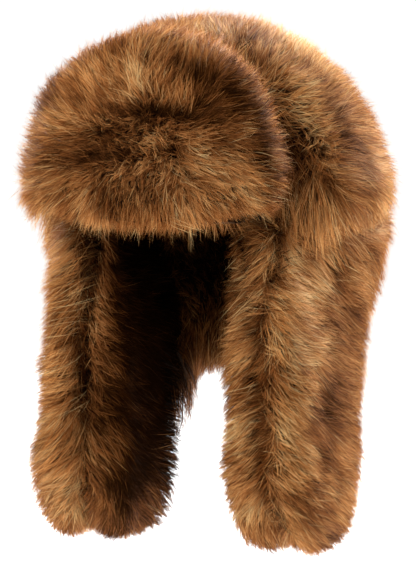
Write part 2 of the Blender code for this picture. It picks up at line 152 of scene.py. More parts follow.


# Patches of lighter and darker fur, partly the fur's own tone and partly painted light and shade: a painted
# glow where light from behind catches edges, and painted shade in creases and dents. A turn of 0 lays the long
# way level, and 90 stands it up.
VISOR_TONE_AND_LIGHT_PATCHES = (
    # x, y, half length, half width, turn, change of tone
    (190, 200, 95, 22, -2, 0.12),
    (110, 192, 40, 14, 0, -0.08),
    (262, 196, 22, 16, -60, 0.16),
    (236, 164, 26, 12, -30, 0.10),
    (120, 128, 30, 8, 10, -0.14),
    (220, 112, 34, 10, -10, -0.14),
    # a painted glow along the visor's upper left edge, where light from behind catches the hairs
    (84, 62, 26, 12, 35, 0.24),
    (40, 190, 20, 16, -25, 0.10),
    (148, 109, 36, 8, 0, -0.50),
    (188, 116, 24, 8, -20, -0.40),
    (112, 152, 36, 6, 4, -0.36),
    (170, 149, 14, 6, 0, -0.34),
    (147, 53, 7, 8, 0, -0.32),
    (178, 54, 9, 8, 0, -0.22),
    (203, 72, 18, 11, -35, -0.40),
    (204, 99, 14, 8, -20, -0.34),
    (238, 96, 22, 10, -60, -0.42),
    (192, 198, 26, 18, 0, -0.14),
    (124, 204, 30, 12, 0, -0.08),
    (264, 136, 30, 8, -84, -0.42),
    (258, 104, 12, 6, -60, -0.20),
    (136, 69, 16, 11, 0, 0.24),
    # more of the painted glow along the visor's upper left edge
    (100, 73, 26, 12, 35, 0.16),
    (66, 113, 20, 16, 0, 0.14),
    (84, 140, 34, 12, 0, -0.12),
    (244, 58, 30, 9, -42, 0.26),
    (274, 100, 34, 6, -72, 0.20),
    (76, 160, 40, 14, 10, -0.22),
    (244, 62, 30, 10, -40, -0.10),
    (210, 68, 40, 16, -10, -0.12),
    (160, 80, 20, 14, 0, -0.14),
)
CROWN_TONE_AND_LIGHT_PATCHES = (
    # x, y, half length, half width, turn, change of tone
    (268, 58, 34, 8, -45, -0.26),
    (289, 108, 40, 7, -75, -0.26),
    (294, 166, 18, 10, -100, -0.50),
    (306, 84, 26, 11, -50, 0.12),
    # painted light in the valley beside the visor, which the lamps leave in shade
    (300, 118, 40, 12, -72, 0.22),
    (322, 140, 38, 12, -72, 0.18),
    (343, 130, 42, 13, -72, -0.34),
    (322, 76, 26, 9, -45, -0.10),
    (374, 138, 46, 10, -74, 0.10),
    (300, 38, 60, 13, -28, 0.26),
    (333, 184, 40, 13, -35, -0.30),
    (350, 196, 34, 9, -50, 0.20),
    (322, 216, 18, 14, 0, 0.22),
    (348, 226, 30, 14, -40, 0.12),
    # more painted light in the valley beside the visor
    (290, 116, 30, 9, -75, 0.22),
    (384, 205, 26, 10, -100, 0.12),
)
EAR_LEFT_TONE_AND_LIGHT_PATCHES = (
    # x, y, half length, half width, turn, change of tone
    (290, 256, 24, 17, 20, 0.26),
    (240, 274, 26, 13, 90, 0.26),
    (270, 262, 24, 10, 80, 0.10),
    # this and the next: painted shade in the crease round the bulge at the flap's top
    (314, 248, 18, 6, -80, -0.30),
    (278, 286, 24, 6, -5, -0.26),
    (312, 284, 14, 12, 0, 0.14),
    # these three: painted shade in the dents along the parting, with the darker hair there
    (267, 332, 22, 4, 90, -0.34),
    (268, 448, 14, 5, 90, -0.34),
    (261, 482, 12, 6, 60, -0.34),
    (298, 348, 34, 14, 80, 0.12),
    (290, 446, 28, 14, 80, 0.12),
    # these three: a painted band of shade down the flap's outer side
    (338, 340, 70, 12, 85, -0.16),
    (334, 400, 34, 12, 85, -0.16),
    (327, 462, 46, 12, 80, -0.14),
    (246, 512, 26, 18, 30, 0.18),
    (300, 500, 34, 20, 60, 0.12),
    (290, 400, 30, 14, 70, 0.10),
    (245, 356, 16, 12, 0, 0.12),
    (249, 376, 16, 8, 0, -0.12),
)
EAR_RIGHT_TONE_AND_LIGHT_PATCHES = (
    # x, y, half length, half width, turn, change of tone
    # a painted glow down the outer side, where light from behind catches the hairs
    (56, 370, 150, 16, 88, 0.13),
    (62, 262, 34, 14, 90, 0.14),
    # painted light on the lit lower part of the lining
    (92, 490, 26, 16, 20, 0.20),
    # these four: painted shade in the dents along the parting, with the darker hair there
    (80, 268, 18, 4, 90, -0.30),
    (67, 336, 22, 5, 80, -0.34),
    (76, 376, 24, 6, 100, -0.36),
    (61, 456, 16, 7, 60, -0.26),
    (96, 300, 22, 12, 70, 0.08),
    (94, 334, 14, 9, 0, 0.06),
    (96, 320, 50, 9, 84, 0.08),
    (88, 392, 60, 10, 86, 0.10),
    (110, 440, 60, 14, 90, -0.18),
    # more painted light on the lit lower part of the lining
    (90, 512, 34, 14, -10, 0.26),
    (120, 530, 14, 12, 0, -0.10),
)

# The two ends of each fur: how the colour of a hair goes from its root to its tip, by tone
ROOT_RAMP = (
    # tone, colour
    (0.0, (0.0040, 0.0015, 0.0005)),
    (0.5, (0.0260, 0.0090, 0.0022)),
    (1.0, (0.1600, 0.0680, 0.0200)),
)
TIP_RAMP = (
    # tone, colour
    (0.00, (0.020, 0.007, 0.0016)),
    (0.25, (0.118, 0.035, 0.0080)),
    (0.50, (0.430, 0.150, 0.0370)),
    (0.75, (0.840, 0.420, 0.1400)),
    (1.00, (1.000, 0.740, 0.3500)),
)
UNDERCOAT_RAMP = (
    # tone, colour
    (0.0, (0.002, 0.001, 0.0007)),
    (0.5, (0.016, 0.008, 0.0040)),
    (1.0, (0.060, 0.030, 0.0140)),
)
LEATHER_RAMP = ((0.3, (0.045, 0.024, 0.013)), (0.7, (0.120, 0.066, 0.036)))
# The lining's colour from the quilting's hollows, darkened as painted shade, to its tops
CLOTH_AND_QUILT_SHADE_RAMP = ((0.0, (0.008, 0.006, 0.005)), (0.6, (0.026, 0.018, 0.014)))
THROUGH_TINT = (1.0, 0.86, 0.68)
THROUGH_SHARE = 0.42
GLINT_TINT = (1.0, 0.66, 0.32)
GLINT = 0.35
STREAKS = 0.07


def skin_of(node):
    """A fur body's own surface, welded and rounded: points, triangles, normals, and how thick it is there."""
    body = bmesh.new()
    body.from_mesh(nodes[node].data)
    bmesh.ops.remove_doubles(body, verts=body.verts, dist=WELD)
    body.normal_update()
    mesh = bpy.data.meshes.new("skin")
    body.to_mesh(mesh)
    body.free()
    holder = bpy.data.objects.new("skin", mesh)
    bpy.context.scene.collection.objects.link(holder)
    rounding = holder.modifiers.new("rounding", "SUBSURF")
    rounding.levels = 1
    evaluated = holder.evaluated_get(bpy.context.evaluated_depsgraph_get())
    made = evaluated.to_mesh()
    made.calc_loop_triangles()
    points = np.empty(len(made.vertices) * 3)
    made.vertices.foreach_get("co", points)
    points = points.reshape(-1, 3)
    triangles = np.empty(len(made.loop_triangles) * 3, dtype=np.int32)
    made.loop_triangles.foreach_get("vertices", triangles)
    triangles = triangles.reshape(-1, 3)
    evaluated.to_mesh_clear()
    bpy.data.objects.remove(holder)
    bpy.data.meshes.remove(mesh)
    normals = vertex_normals(points, triangles)
    for _ in range(2):
        normals = spread(normals, triangles, len(points))
    tree = BVHTree.FromPolygons(points.tolist(), triangles.tolist())
    depth = np.empty(len(points))
    for i, (point, normal) in enumerate(zip(points, normals)):
        hit = tree.ray_cast(Vector(point - normal * 5e-4), Vector(-normal))[3]
        depth[i] = 5e-4 if hit is None else hit
    return points, triangles, normals, depth


def vertex_normals(points, triangles):
    """Each point's normal, from the faces round it by their area."""
    corners = points[triangles]
    faces = np.cross(corners[:, 1] - corners[:, 0], corners[:, 2] - corners[:, 0])
    total = np.zeros_like(points)
    for corner in range(3):
        np.add.at(total, triangles[:, corner], faces)
    return unit(total)


def spread(normals, triangles, count):
    """The normals with each neighbour's mixed in."""
    total = normals.copy()
    for corner in range(3):
        np.add.at(total, triangles[:, corner], normals[triangles[:, (corner + 1) % 3]])
        np.add.at(total, triangles[:, corner], normals[triangles[:, (corner + 2) % 3]])
    return unit(total)


def sample(skin, weights, count, draw):
    """Points spread over the skin's triangles by area and weight, with their normals and depths."""
    points, triangles, normals, depth = skin
    corners = points[triangles]
    area = np.linalg.norm(np.cross(corners[:, 1] - corners[:, 0], corners[:, 2] - corners[:, 0]), axis=1)
    share = np.cumsum(area * weights[triangles].mean(axis=1))
    at = (np.arange(count) + draw.random(count)) / count * share[-1]
    chosen = np.minimum(np.searchsorted(share, at), len(triangles) - 1)
    a, b = draw.random(count), draw.random(count)
    over = a + b > 1
    a[over], b[over] = 1 - a[over], 1 - b[over]
    mix = np.column_stack([1 - a - b, a, b])
    corner = triangles[chosen]
    place = (points[corner] * mix[..., None]).sum(axis=1)
    normal = unit((normals[corner] * mix[..., None]).sum(axis=1))
    return place, normal, (depth[corner] * mix).sum(axis=1)


def tufts(places, spacing, draw):
    """The nearest of the tuft centres, which are some of the places themselves, for each place."""
    chosen = draw.permutation(len(places))[: max(len(places) // spacing, 1)]
    tree = KDTree(len(chosen))
    for i, place in enumerate(places[chosen]):
        tree.insert(place, i)
    tree.balance()
    return chosen, np.array([tree.find(place)[1] for place in places])


class Fur:
    """What sets one fur body apart: where its hairs grow, how they are combed and how light they are."""

    depth = 0.012  # from the skin to the hairs' roots

    def __init__(self, node, slot, backing, budget, grows, comb, tone, proud, root_share, wisps=0.0):
        self.node, self.slot, self.backing, self.budget = node, slot, backing, budget
        self.grows, self.comb, self.tone = grows, comb, tone
        self.proud, self.root_share = proud, root_share
        self.wisps = wisps  # how much further the long hairs stand out where they hang, as a share


# Kinds of hair: short wool, the long top coat, and a few light guard hairs that stand out of it
Hair = namedtuple("Hair", "share triangles steps width over waviness lighter")
HAIRS = (
    # share of the triangles, triangles each, steps, width, stands over, waviness, lighter
    Hair(0.44, 3, (0, 0.55, 1), 0.00080, 0.000, 0.0006, -0.02),
    Hair(0.48, 3, (0, 0.55, 1), 0.00055, 0.005, 0.0010, 0.02),
    Hair(0.08, 7, (0, 0.30, 0.58, 0.82, 1), 0.00040, 0.011, 0.0040, 0.24),
)
LEAN = 0.85  # how far a hair leans for its height, where it is combed flat
COMB_WAVES = Waves(0.045, 11)
SMALL_TUFT, BIG_TUFT = 7, 220  # hairs that lean together, on the whole
SWAY = 0.20  # how far a tuft turns from the combing
STRAY = 0.10  # and each of its hairs
UNEVEN = 0.0012  # how much tufts and hairs differ in height
DROOP = 0.001
ROOT_SHARE = 0.80  # how much of a hair's lean its root takes, so that the tip ends where the solid does
UNDERCOAT_ALONG = 0.16  # how far up a hair the undercoat would be
Mesh = namedtuple("Mesh", "points corners sizes normals along tone")


def hair_paths(fur, hair, place, normal, thick, small, big, draw):
    """Each hair's path from its root to its tip, with a point for each step, drawn into small and big tufts."""
    count = len(place)
    (chosen, nearest), (big_chosen, big_nearest) = small, big
    comb = fur.comb(place, normal)
    comb += COMB_WAVES(place)[:, None] * unit(np.cross(normal, comb + 1e-6)) * 0.30
    sway = draw.normal(size=(len(chosen), 3)) * SWAY
    big_sway = draw.normal(size=(len(big_chosen), 3)) * SWAY
    comb = comb + sway[nearest] + big_sway[big_nearest] + draw.normal(size=(count, 3)) * STRAY
    comb -= (comb * normal).sum(axis=1)[:, None] * normal
    tall = draw.normal(0, UNEVEN, len(chosen))[nearest] + draw.normal(0, UNEVEN, count)
    reach = fur.proud(place, normal)
    sunk = np.minimum(fur.depth + np.maximum(-reach, 0.0), np.maximum(thick * 0.85, 0.004))
    over = hair.over * (1 + fur.wisps * ramp(-normal[:, 2], 0.1, 0.8))
    height = sunk + reach + over * draw.random(count) ** 2 + tall
    lean = comb * (height * LEAN)[:, None]
    root = place - normal * sunk[:, None] - lean * fur.root_share(place)[:, None]
    gather = (place[chosen][nearest] - place) * draw.uniform(0.2, 0.8, count)[:, None]
    bend = unit(np.cross(normal, comb + 1e-6)) * (draw.normal(0, hair.waviness, count))[:, None]
    rows = []
    for t in hair.steps:
        rows.append(
            root
            + normal * (height * t)[:, None]
            + lean * t**1.6
            + gather * t**1.4
            + bend * (t * (1 - t) * 2)
            + DOWN * (DROOP * t**2)
        )
    return np.stack(rows, axis=1)


def strands(fur, hair, skin, weights, count, draw):
    """Hairs of one kind as tapered ribbons, and where each point of a hair lies across its cell of the map."""
    place, normal, thick = sample(skin, weights, count, draw)
    small, big = tufts(place, SMALL_TUFT, draw), tufts(place, BIG_TUFT, draw)
    path = hair_paths(fur, hair, place, normal, thick, small, big, draw)
    way = unit(path[:, -1] - path[:, 0])
    flat = unit(np.cross(way, normal))
    face = unit(np.cross(flat, way))
    roll = draw.uniform(-1.2, 1.2, count)
    side = flat * np.cos(roll)[:, None] + face * np.sin(roll)[:, None]
    widths = hair.width * draw.uniform(0.7, 1.3, count)
    points, along = [], []
    for i, t in enumerate(hair.steps[:-1]):
        half = side * (widths * ((1 - t**1.7) * 0.5))[:, None]
        points += [path[:, i] - half, path[:, i] + half]
        along += [t, t]
    points.append(path[:, -1])
    along.append(1.0)
    per = len(points)

    tone = fur.tone(place, normal) + hair.lighter
    tone = tone + draw.normal(0, 0.09, len(small[0]))[small[1]]
    tone = tone + draw.normal(0, 0.07, len(big[0]))[big[1]]
    tone = np.clip(tone + draw.normal(0, 0.11, count), 0.02, 1.0)

    quads = [(2 * i, 2 * i + 1, 2 * i + 3, 2 * i + 2) for i in range(len(hair.steps) - 2)]
    tip = (per - 3, per - 2, per - 1)
    starts = np.arange(count)[:, None] * per
    loops = np.concatenate([np.array(sum(quads, ())), np.array(tip)])
    mesh = Mesh(
        points=np.stack(points, axis=1).reshape(-1, 3),
        corners=(starts + loops[None, :]).reshape(-1),
        sizes=np.tile([4] * len(quads) + [3], count),
        normals=np.repeat(unit(normal + 0.35 * face), per, axis=0),
        along=np.tile(along, count),
        tone=np.repeat(tone, per),
    )
    return mesh, (per, np.tile([0.25, 0.75] * (per // 2) + [0.5], count))


def off_backing(points, backing):
    """0 where the skin lies on its backing, and 1 where it is clear of it."""
    tree = BVHTree.FromObject(nodes[backing], bpy.context.evaluated_depsgraph_get())
    gaps = np.array([tree.find_nearest(Vector(point))[3] for point in points])
    return ramp(gaps, 0.0010, 0.0035)


def undercoat(fur, skin, weights):
    """The skin sunk into the body where it is off its backing, which is what shows between the hairs."""
    points, triangles, normals, depth = skin
    free = np.maximum(off_backing(points, fur.backing), np.clip(weights * 3, 0, 1))
    short = np.maximum(-fur.proud(points, normals), 0.0)
    sunk = np.minimum(fur.depth * 0.6 + short, depth * 0.6) * free
    return Mesh(
        points=points - normals * sunk[:, None],
        corners=triangles.reshape(-1),
        sizes=np.full(len(triangles), 3),
        normals=normals,
        along=np.full(len(points), UNDERCOAT_ALONG),
        tone=np.clip(fur.tone(points, normals), 0.02, 1.0),
    )


def joined(parts):
    """Several meshes as one, with each one's corners moved on past the points before it."""
    base = np.cumsum([0] + [len(part.points) for part in parts])
    moved = [part._replace(corners=part.corners + at) for part, at in zip(parts, base)]
    return Mesh(*(np.concatenate(field) for field in zip(*moved)))


def build(fur, seed):
    """One fur piece: its undercoat and its hairs in one mesh."""
    draw = np.random.default_rng(seed)
    skin = skin_of(fur.node)
    points, _, normals, _ = skin
    weights = np.clip(fur.grows(points, normals), 0, 1)
    core = undercoat(fur, skin, weights)
    budget = fur.budget - len(core.sizes)
    thicker = weights * (0.75 + 0.50 * facing_of(normals))
    made = []
    for hair in HAIRS:
        count = int(budget * hair.share / hair.triangles)
        made.append(strands(fur, hair, skin, thicker, count, draw))
    whole = joined([core, *[part for part, _ in made]])

    mesh = bpy.data.meshes.new(fur.node + "_hair")
    mesh.vertices.add(len(whole.points))
    mesh.vertices.foreach_set("co", whole.points.astype(np.float32).ravel())
    mesh.loops.add(len(whole.corners))
    mesh.loops.foreach_set("vertex_index", whole.corners.astype(np.int32))
    mesh.polygons.add(len(whole.sizes))
    starts = np.concatenate([[0], np.cumsum(whole.sizes)[:-1]])
    mesh.polygons.foreach_set("loop_start", starts.astype(np.int32))
    for label, values in (("fur_along", whole.along), ("fur_tone", whole.tone)):
        mesh.attributes.new(label, "FLOAT", "POINT").data.foreach_set("value", values.astype(np.float32))
    mesh.update(calc_edges=True)
    mesh.shade_smooth()
    mesh.normals_split_custom_set_from_vertices(whole.normals.astype(np.float32))
    add_map(mesh, whole.corners, core.points, [cells for _, cells in made], whole.along)

    piece = bpy.data.objects.new(fur.node + "_hair", mesh)
    bpy.context.scene.collection.objects.link(piece)
    mesh.materials.append(fur_material)
    mesh.materials.append(undercoat_material)
    is_undercoat = np.arange(len(whole.sizes)) < len(core.sizes)
    mesh.polygons.foreach_set("material_index", is_undercoat.astype(np.int32))
    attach(piece, "root")
    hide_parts(fur.node)


MAP_BAND = 0.12  # the share of the map that the undercoat takes


def add_map(mesh, corners, core, groups, along):
    """A map in which each hair has a small cell of its own, and the undercoat a band along the bottom."""
    place = np.empty((len(along), 2))
    angle = np.arctan2(core[:, 0], -core[:, 1]) / (2 * math.pi) + 0.5
    low, high = core[:, 2].min(), core[:, 2].max()
    place[: len(core)] = np.column_stack([angle, (core[:, 2] - low) / (high - low) * MAP_BAND * 0.95])
    counts = [len(across) // per for per, across in groups]
    columns = math.ceil(math.sqrt(sum(counts)))
    at, hair = len(core), 0
    for (per, across), count in zip(groups, counts):
        index = np.repeat(np.arange(hair, hair + count), per)
        share = along[at : at + count * per] * 0.8 + 0.1
        place[at : at + count * per, 0] = (index % columns + across) / columns
        place[at : at + count * per, 1] = MAP_BAND + (index // columns + share) / columns * (1 - MAP_BAND)
        at, hair = at + count * per, hair + count
    layer = mesh.uv_layers.new(name="OFBake")
    layer.data.foreach_set("uv", place[corners].astype(np.float32).ravel())


def add(tree, kind, **settings):
    """A new node in a material's tree, with its settings."""
    node = tree.nodes.new(kind)
    for key, value in settings.items():
        setattr(node, key, value)
    return node


def colour_ramp(tree, factor, stops):
    """The colour that a table of stops gives for a factor."""
    made = add(tree, "ShaderNodeValToRGB")
    elements = made.color_ramp.elements
    while len(elements) < len(stops):
        elements.new(0.5)
    for element, (at, colour) in zip(elements, stops):
        element.position = at
        element.color = (*colour, 1)
    tree.links.new(factor, made.inputs["Fac"])
    return made.outputs["Color"]


def new_material(name):
    """A new material, its tree and its shader."""
    material = bpy.data.materials.new(name)
    material.use_nodes = True
    return material, material.node_tree, material.node_tree.nodes["Principled BSDF"]


def add_bump(tree, shader, height, distance):
    """Bumps in the shader's surface, this high in metres."""
    bump = add(tree, "ShaderNodeBump")
    bump.inputs["Distance"].default_value = distance
    tree.links.new(height, bump.inputs["Height"])
    tree.links.new(bump.outputs["Normal"], shader.inputs["Normal"])
    return bump


def make_fur_material():
    """Hair whose colour runs from a dark root to a light tip, by its tone, and lets some light through."""
    material, tree, shader = new_material("fur")
    along = add(tree, "ShaderNodeAttribute", attribute_name="fur_along").outputs["Fac"]
    tone = add(tree, "ShaderNodeAttribute", attribute_name="fur_tone").outputs["Fac"]
    streak = add(tree, "ShaderNodeTexNoise")
    streak.inputs["Scale"].default_value = 90.0
    streak.inputs["Detail"].default_value = 2.0
    varied = add(tree, "ShaderNodeMapRange")
    varied.inputs["To Min"].default_value = -STREAKS
    varied.inputs["To Max"].default_value = STREAKS
    tree.links.new(streak.outputs["Fac"], varied.inputs["Value"])
    total = add(tree, "ShaderNodeMath", operation="ADD", use_clamp=True)
    tree.links.new(tone, total.inputs[0])
    tree.links.new(varied.outputs["Result"], total.inputs[1])
    root = colour_ramp(tree, total.outputs[0], ROOT_RAMP)
    tip = colour_ramp(tree, total.outputs[0], TIP_RAMP)
    share = add(tree, "ShaderNodeMapRange", interpolation_type="SMOOTHSTEP")
    share.inputs["From Min"].default_value = 0.05
    share.inputs["From Max"].default_value = 0.95
    tree.links.new(along, share.inputs["Value"])
    mixed = add(tree, "ShaderNodeMix", data_type="RGBA")
    tree.links.new(share.outputs["Result"], mixed.inputs["Factor"])
    tree.links.new(root, mixed.inputs["A"])
    tree.links.new(tip, mixed.inputs["B"])
    colour = mixed.outputs["Result"]
    tree.links.new(colour, shader.inputs["Base Color"])
    shader.inputs["Roughness"].default_value = 0.5
    glint = add(tree, "ShaderNodeMath", operation="MULTIPLY")
    tree.links.new(total.outputs[0], glint.inputs[0])
    glint.inputs[1].default_value = GLINT
    tree.links.new(glint.outputs[0], shader.inputs["Specular IOR Level"])
    shader.inputs["Specular Tint"].default_value = (*GLINT_TINT, 1)
    through = add(tree, "ShaderNodeBsdfTranslucent")
    golden = add(tree, "ShaderNodeMix", data_type="RGBA", blend_type="MULTIPLY")
    golden.inputs["Factor"].default_value = 1.0
    tree.links.new(colour, golden.inputs["A"])
    golden.inputs["B"].default_value = (*THROUGH_TINT, 1)
    tree.links.new(golden.outputs["Result"], through.inputs["Color"])
    both = add(tree, "ShaderNodeMixShader")
    both.inputs["Fac"].default_value = THROUGH_SHARE
    tree.links.new(shader.outputs["BSDF"], both.inputs[1])
    tree.links.new(through.outputs["BSDF"], both.inputs[2])
    tree.links.new(both.outputs["Shader"], tree.nodes["Material Output"].inputs["Surface"])
    return material


def make_undercoat_material():
    """What shows between the hairs: dull dark wool."""
    material, tree, shader = new_material("undercoat")
    tone = add(tree, "ShaderNodeAttribute", attribute_name="fur_tone").outputs["Fac"]
    colour = colour_ramp(tree, tone, UNDERCOAT_RAMP)
    tree.links.new(colour, shader.inputs["Base Color"])
    wool = add(tree, "ShaderNodeTexNoise")
    wool.inputs["Scale"].default_value = 700.0
    add_bump(tree, shader, wool.outputs["Fac"], 0.001)
    shader.inputs["Roughness"].default_value = 1.0
    shader.inputs["Specular IOR Level"].default_value = 0.05
    return material


def make_leather_material():
    """The pelt's suede side: brown, mottled and softly nubbly."""
    material, tree, shader = new_material("pelt_leather")
    mottle = add(tree, "ShaderNodeTexNoise")
    mottle.inputs["Scale"].default_value = 35.0
    mottle.inputs["Detail"].default_value = 6.0
    colour = colour_ramp(tree, mottle.outputs["Fac"], LEATHER_RAMP)
    tree.links.new(colour, shader.inputs["Base Color"])
    nub = add(tree, "ShaderNodeTexNoise")
    nub.inputs["Scale"].default_value = 900.0
    bump = add_bump(tree, shader, nub.outputs["Fac"], 0.0004)
    bump.inputs["Strength"].default_value = 0.5
    shader.inputs["Roughness"].default_value = 0.85
    shader.inputs["Specular IOR Level"].default_value = 0.25
    return material


def make_cloth_material():
    """The crown's dark lining, quilted in diamonds, its colour darkened into the hollows between the diamonds
    as painted shade, beside the bump.
    """
    material, tree, shader = new_material("crown_lining")
    place = add(tree, "ShaderNodeTexCoord").outputs["Object"]
    ridges = []
    for turn in (-45, 45):
        mapping = add(tree, "ShaderNodeMapping")
        mapping.inputs["Rotation"].default_value = (math.radians(turn), math.radians(turn), 0)
        tree.links.new(place, mapping.inputs["Vector"])
        wave = add(tree, "ShaderNodeTexWave")
        wave.inputs["Scale"].default_value = 12.0
        tree.links.new(mapping.outputs["Vector"], wave.inputs["Vector"])
        ridges.append(wave.outputs["Fac"])
    both = add(tree, "ShaderNodeMath", operation="MULTIPLY")
    for ridge, socket in zip(ridges, both.inputs):
        tree.links.new(ridge, socket)
    height = add(tree, "ShaderNodeMath", operation="POWER")
    tree.links.new(both.outputs[0], height.inputs[0])
    height.inputs[1].default_value = 0.4
    # painted shade: the colour is darker where the quilting is low
    colour = colour_ramp(tree, height.outputs[0], CLOTH_AND_QUILT_SHADE_RAMP)
    tree.links.new(colour, shader.inputs["Base Color"])
    add_bump(tree, shader, height.outputs[0], 0.002)
    shader.inputs["Roughness"].default_value = 0.7
    shader.inputs["Sheen Weight"].default_value = 0.3
    return material


# Noise for the tone, by the length of its waves
BROAD = Waves(0.085, 21)
MIDDLE = Waves(0.038, 22)
FINE = Waves(0.016, 23)


def mottle(points, amount):
    """Uneven tone at three sizes."""
    return amount * (0.5 * BROAD(points) + 0.35 * MIDDLE(points) + 0.3 * FINE(points))


# The crown

RING = 0.062  # from one light ring of the crown's fur to the next


def crown_grows(points, normals):
    """On the outside alone."""
    away = unit(points - RIM_CENTRE)
    return ramp((normals * away).sum(axis=1), 0.05, 0.3)


def crown_comb(points, normals):
    """Back over the top, and down the sides."""
    low = ramp(RIM_Z + 0.115 - points[:, 2], 0.0, 0.115)
    down = DOWN * (0.05 + 0.60 * low)[:, None]
    return down + BACK * (0.50 + 0.10 * low)[:, None]


def crown_proud(points, normals):
    """Hairs stand further out low down, where they cover the join with the flaps, and beside the visor."""
    low = ramp(RIM_Z + 0.020 - points[:, 2], 0.0, 0.018)
    beside = np.exp(-(((angle_of(points) - 0.95) / 0.16) ** 2)) * ramp(-points[:, 2], 0.0, 0.03)
    side = ramp(points[:, 0], 0.06, 0.11)
    return 0.001 + 0.006 * low + 0.012 * beside + 0.003 * side


def crown_root_share(points):
    """How much of its lean a hair's root takes: less low down, so that the tips hang over the flaps."""
    return ROOT_SHARE - 0.55 * ramp(RIM_Z + 0.030 - points[:, 2], 0.0, 0.026)


def crown_tone(points, normals):
    """Rings of light and dark from front to back, which fade out where the patches take over."""
    facing = facing_of(normals)
    ring = np.sin((points[:, 1] + 0.02 * BROAD(points)) * 2 * math.pi / RING + 1.0) * 0.14
    base = 0.54 + mottle(points, 0.18) + ring * (1 - facing * 0.8)
    return base + patched_tone_and_light(points, facing, CROWN_TONE_AND_LIGHT_PATCHES)


# The visor

TUFT_HEART = np.array([-0.014, -0.150, RIM_Z + 0.052])
TUFT_HALF_WIDTH = 0.02


def visor_grows(points, normals):
    """Everywhere but on the back, which lies against the crown."""
    return ramp(outward_of(points, normals), -0.55, -0.2)


def visor_comb(points, normals):
    """Outwards from the tuft in the visor's middle, and down below it."""
    away = points - TUFT_HEART
    away[:, 0] -= np.clip(away[:, 0], -TUFT_HALF_WIDTH, TUFT_HALF_WIDTH)
    reach = np.linalg.norm(away, axis=1)
    low = ramp(TUFT_HEART[2] - points[:, 2], 0.0, 0.05)
    return unit(away) * (0.95 * ramp(reach, 0.0, 0.05))[:, None] + DOWN * (0.30 * low)[:, None]


def visor_proud(points, normals):
    """Hairs stand out over the crown at the top and the ends, and end higher up along the fold and the top."""
    rim = ramp(-outward_of(points, normals), -0.75, -0.1)
    low = ramp(-normals[:, 2], 0.1, 0.8)
    high = ramp(points[:, 2] - RIM_Z, 0.085, 0.115) * ramp(-points[:, 0], -0.02, 0.03)
    end = ramp(-points[:, 0], 0.06, 0.10) * ramp(points[:, 2] - RIM_Z, 0.005, 0.030) * (1 - high)
    corner = ramp(points[:, 0], 0.035, 0.065) * ramp(RIM_Z + 0.030 - points[:, 2], 0.0, 0.035)
    grown = 0.001 + 0.004 * rim * (1 - low) * (1 - high) + 0.007 * end
    return grown - 0.018 * low - 0.005 * high - 0.016 * corner * (1 - low)


def visor_tone(points, normals):
    """Even, apart from the mottling and the patches."""
    facing = facing_of(normals)
    return 0.49 + mottle(points, 0.16) + patched_tone_and_light(points, facing, VISOR_TONE_AND_LIGHT_PATCHES)


# The flaps

PARTING_WIDTH = 0.0032


def flap_back(points):
    """The level direction along a flap's wall, away from its front edge."""
    out = outwards(points)
    side = np.sign(points[:, 0])[:, None]
    return np.column_stack([-out[:, 1], out[:, 0], np.zeros(len(points))]) * side


def split_free(points, normals):
    """0 on the faces where an ear flap meets the neck flap, and 1 elsewhere."""
    near = 1 - ramp(np.abs(angle_of(points) - SPLIT_ANGLE), 0.02, 0.06)
    square = 1 - ramp(np.abs(outward_of(points, normals)), 0.3, 0.6)
    return 1 - near * square * (points[:, 2] > RIM_Z - 0.09)


def outer_grows(points, normals):
    """On a flap's outside and round its edges."""
    below = ramp(-normals[:, 2], -0.9, -0.6)
    return ramp(outward_of(points, normals), -0.95, -0.80) * split_free(points, normals) * below


def inner_grows(points, normals):
    """On a flap's inside and round its edges."""
    below = ramp(-normals[:, 2], -0.9, -0.6)
    return ramp(-outward_of(points, normals), -0.95, -0.80) * split_free(points, normals) * below


# Where the fur parts down the front of each ear flap
GROOVE_X = 0.070
PARTINGS = (
    # below the rim, wearer's left, wearer's right
    (0.020, 0.0730, -0.0580),
    (0.074, 0.0715, -0.0610),
    (0.111, 0.0730, -0.0590),
    (0.160, 0.0740, -0.0660),
    (0.180, 0.0700, -0.0620),
    (0.215, 0.0820, -0.0560),
)


def parting_of(points):
    """How far across a point is from its flap's parting, in metres, towards +X."""
    drops, left, right = np.array(PARTINGS).T
    drop = RIM_Z - points[:, 2]
    line = np.where(points[:, 0] > 0, np.interp(drop, drops, left), np.interp(drop, drops, right))
    return points[:, 0] - line


def front_of(points):
    """1 on the front edge of an ear flap, and 0 further back."""
    return ramp(-points[:, 1], 0.066, 0.088) * (points[:, 2] < RIM_Z)


def groove_of(points):
    """1 in the groove down the front, where the fur and the lining are sewn together, and 0 away from it."""
    across = np.abs(np.abs(points[:, 0]) - GROOVE_X)
    return (1 - ramp(across, 0.007, 0.017)) * front_of(points)


def flap_comb(points, normals):
    """Down, and level away from the parting."""
    across = parting_of(points)
    aside = np.sign(across) * ramp(np.abs(across), 0.0, 0.010)
    sideways = np.column_stack([aside, np.zeros((len(points), 2))])
    front = front_of(points)[:, None]
    level = sideways * front + flap_back(points) * 0.9 * (1 - front)
    groove = groove_of(points)[:, None]
    return level * 0.85 + DOWN * (0.70 - 0.25 * groove) - BACK * 0.35 * groove


def parting_shade_and_tone(points):
    """Darker along the parting, more so in some places than in others: painted shade in the parting's groove,
    with the darker hair there.
    """
    gap = np.exp(-((parting_of(points) / PARTING_WIDTH) ** 2)) * front_of(points)
    return -gap * (0.26 + 0.22 * MIDDLE(points))


